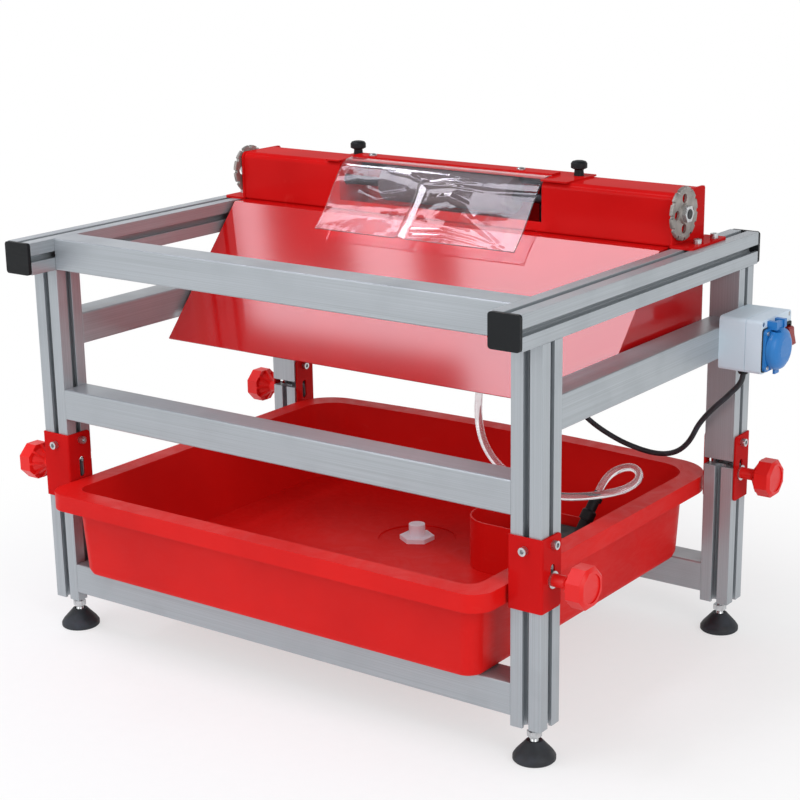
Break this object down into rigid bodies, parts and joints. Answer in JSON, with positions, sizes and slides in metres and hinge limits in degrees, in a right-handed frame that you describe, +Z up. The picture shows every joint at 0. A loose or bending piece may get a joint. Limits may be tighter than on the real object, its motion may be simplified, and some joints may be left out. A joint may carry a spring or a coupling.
{
  "type": "wet grinding sharpener",
  "caption": "Bench-height wet grinding sharpener: slotted aluminium frame that slides on a low base, driven wheel in a red beam over a splash plate, red water tub with pump, side socket box.",
  "frame": {"origin": "on the floor under the middle of the machine's box, cords left out", "axes": "+X to the machine's right along the wheel axis, +Y to the rear, +Z up"},
  "size_m": [0.8902, 0.5799, 0.616],
  "materials": {
    "anodised_aluminium": "satin anodised",
    "cast_aluminium": "die cast",
    "red_paint": "gloss paint on sheet",
    "red_plastic": "matte moulded",
    "red_gloss_plastic": "moulded",
    "black_plastic": "matte moulded",
    "grey_plastic": "matte moulded",
    "blue_plastic": "moulded",
    "white_plastic": "moulded",
    "black_rubber": "matte jacket",
    "clear_film": "clear film",
    "clear_hose": "clear hose",
    "zinc_steel": "zinc plated",
    "black_steel": "blackened",
    "abrasive": "bonded abrasive"
  },
  "bodies": {
    "base": {"lower_legs_left": "anodised_aluminium", "lower_legs_right": "anodised_aluminium", "lower_rail_front": "anodised_aluminium", "lower_rail_rear": "anodised_aluminium", "foot_spindles": "zinc_steel", "clamp_studs": "zinc_steel", "tub": "red_plastic", "pump_pot": "red_plastic", "pump_body": "black_plastic", "pump_outlet": "black_plastic", "water_hose": "clear_hose"},
    "upper_frame": {"side_rail_left": "anodised_aluminium", "side_rail_right": "anodised_aluminium", "front_rail_top": "anodised_aluminium", "front_rail_middle": "anodised_aluminium", "side_rails_middle": "anodised_aluminium", "upper_legs_left": "anodised_aluminium", "upper_legs_right": "anodised_aluminium", "rail_end_caps": "black_plastic", "leg_bracket_front_left": "red_paint", "leg_bracket_rear_left": "red_paint", "leg_bracket_front_right": "red_paint", "leg_bracket_rear_right": "red_paint", "frame_screws": "black_steel", "beam_housing": "red_paint", "beam_end_plate_left": "red_paint", "beam_end_plate_right": "red_paint", "shaft_bearings": "zinc_steel", "motor_body": "black_steel", "water_nozzle": "zinc_steel", "top_cover": "red_paint", "flap_clamp_bar": "red_paint", "flap_clamp_screws": "zinc_steel", "splash_plate": "red_paint", "splash_cheeks": "red_paint", "socket_box_body": "grey_plastic", "socket_box_lid": "grey_plastic", "socket_base": "blue_plastic", "switch_frame": "black_plastic", "cable_glands": "black_plastic", "power_cable": "black_rubber"},
    "spindle": {"drive_shaft": "zinc_steel", "grinding_wheel": "abrasive", "end_disc_left": "cast_aluminium", "end_disc_right": "cast_aluminium", "disc_nuts": "zinc_steel"},
    "film": {"splash_flap": "clear_film"},
    "socket_cover": {"socket_flap": "blue_plastic"},
    "rocker": {"switch_rocker": "red_gloss_plastic"},
    "knob_cover_left": {"cover_knob_left": "black_plastic"},
    "knob_cover_right": {"cover_knob_right": "black_plastic"},
    "plug": {"drain_plug": "white_plastic"},
    "knob_front_left": {"clamp_knob_front_left": "red_gloss_plastic"},
    "foot_front_left": {"foot_pad_front_left": "black_plastic"},
    "knob_rear_left": {"clamp_knob_rear_left": "red_gloss_plastic"},
    "foot_rear_left": {"foot_pad_rear_left": "black_plastic"},
    "knob_front_right": {"clamp_knob_front_right": "red_gloss_plastic"},
    "foot_front_right": {"foot_pad_front_right": "black_plastic"},
    "knob_rear_right": {"clamp_knob_rear_right": "red_gloss_plastic"},
    "foot_rear_right": {"foot_pad_rear_right": "black_plastic"}
  },
  "joints": [
    {"name": "frame_height", "type": "slide", "parent": "base", "child": "upper_frame", "axis": [0, 0, 1], "range_m": [-0.008, 0.0045], "deforming": ["water_hose"]},
    {"name": "wheel_spin", "type": "hinge", "parent": "upper_frame", "child": "spindle", "pos_m": [-0.01195, 0.1395, 0.569], "axis": [1, 0, 0], "continuous": true},
    {"name": "film_lift", "type": "hinge", "parent": "upper_frame", "child": "film", "pos_m": [-0.01195, 0.1482, 0.5978], "axis": [-1, 0, 0], "range_deg": [0, 70]},
    {"name": "socket_cover_lift", "type": "hinge", "parent": "upper_frame", "child": "socket_cover", "pos_m": [0.43405, 0.1975, 0.4345], "axis": [0, -1, 0], "range_deg": [0, 95], "stiffness_Nm_per_rad": 0.03},
    {"name": "switch_rock", "type": "hinge", "parent": "upper_frame", "child": "rocker", "pos_m": [0.42205, 0.239, 0.411], "axis": [0, 1, 0], "range_deg": [0, 12]},
    {"name": "cover_knob_left_turn", "type": "hinge", "parent": "upper_frame", "child": "knob_cover_left", "pos_m": [-0.18695, 0.173, 0.6], "axis": [0, 0, 1], "continuous": true},
    {"name": "cover_knob_right_turn", "type": "hinge", "parent": "upper_frame", "child": "knob_cover_right", "pos_m": [0.16305, 0.173, 0.6], "axis": [0, 0, 1], "continuous": true},
    {"name": "drain_plug_turn", "type": "hinge", "parent": "base", "child": "plug", "pos_m": [-0.02995, 0.081, 0.105], "axis": [0, 0, 1], "continuous": true},
    {"name": "clamp_knob_front_left_turn", "type": "hinge", "parent": "base", "child": "knob_front_left", "pos_m": [-0.41195, -0.22, 0.222], "axis": [-1, 0, 0], "continuous": true},
    {"name": "foot_front_left_turn", "type": "hinge", "parent": "base", "child": "foot_front_left", "pos_m": [-0.37195, -0.22, 0.012], "axis": [0, 0, 1], "continuous": true},
    {"name": "clamp_knob_rear_left_turn", "type": "hinge", "parent": "base", "child": "knob_rear_left", "pos_m": [-0.41195, 0.24, 0.222], "axis": [-1, 0, 0], "continuous": true},
    {"name": "foot_rear_left_turn", "type": "hinge", "parent": "base", "child": "foot_rear_left", "pos_m": [-0.37195, 0.24, 0.012], "axis": [0, 0, 1], "continuous": true},
    {"name": "clamp_knob_front_right_turn", "type": "hinge", "parent": "base", "child": "knob_front_right", "pos_m": [0.38805, -0.22, 0.222], "axis": [1, 0, 0], "continuous": true},
    {"name": "foot_front_right_turn", "type": "hinge", "parent": "base", "child": "foot_front_right", "pos_m": [0.34805, -0.22, 0.012], "axis": [0, 0, 1], "continuous": true},
    {"name": "clamp_knob_rear_right_turn", "type": "hinge", "parent": "base", "child": "knob_rear_right", "pos_m": [0.38805, 0.24, 0.222], "axis": [1, 0, 0], "continuous": true},
    {"name": "foot_rear_right_turn", "type": "hinge", "parent": "base", "child": "foot_rear_right", "pos_m": [0.34805, 0.24, 0.012], "axis": [0, 0, 1], "continuous": true}
  ]
}
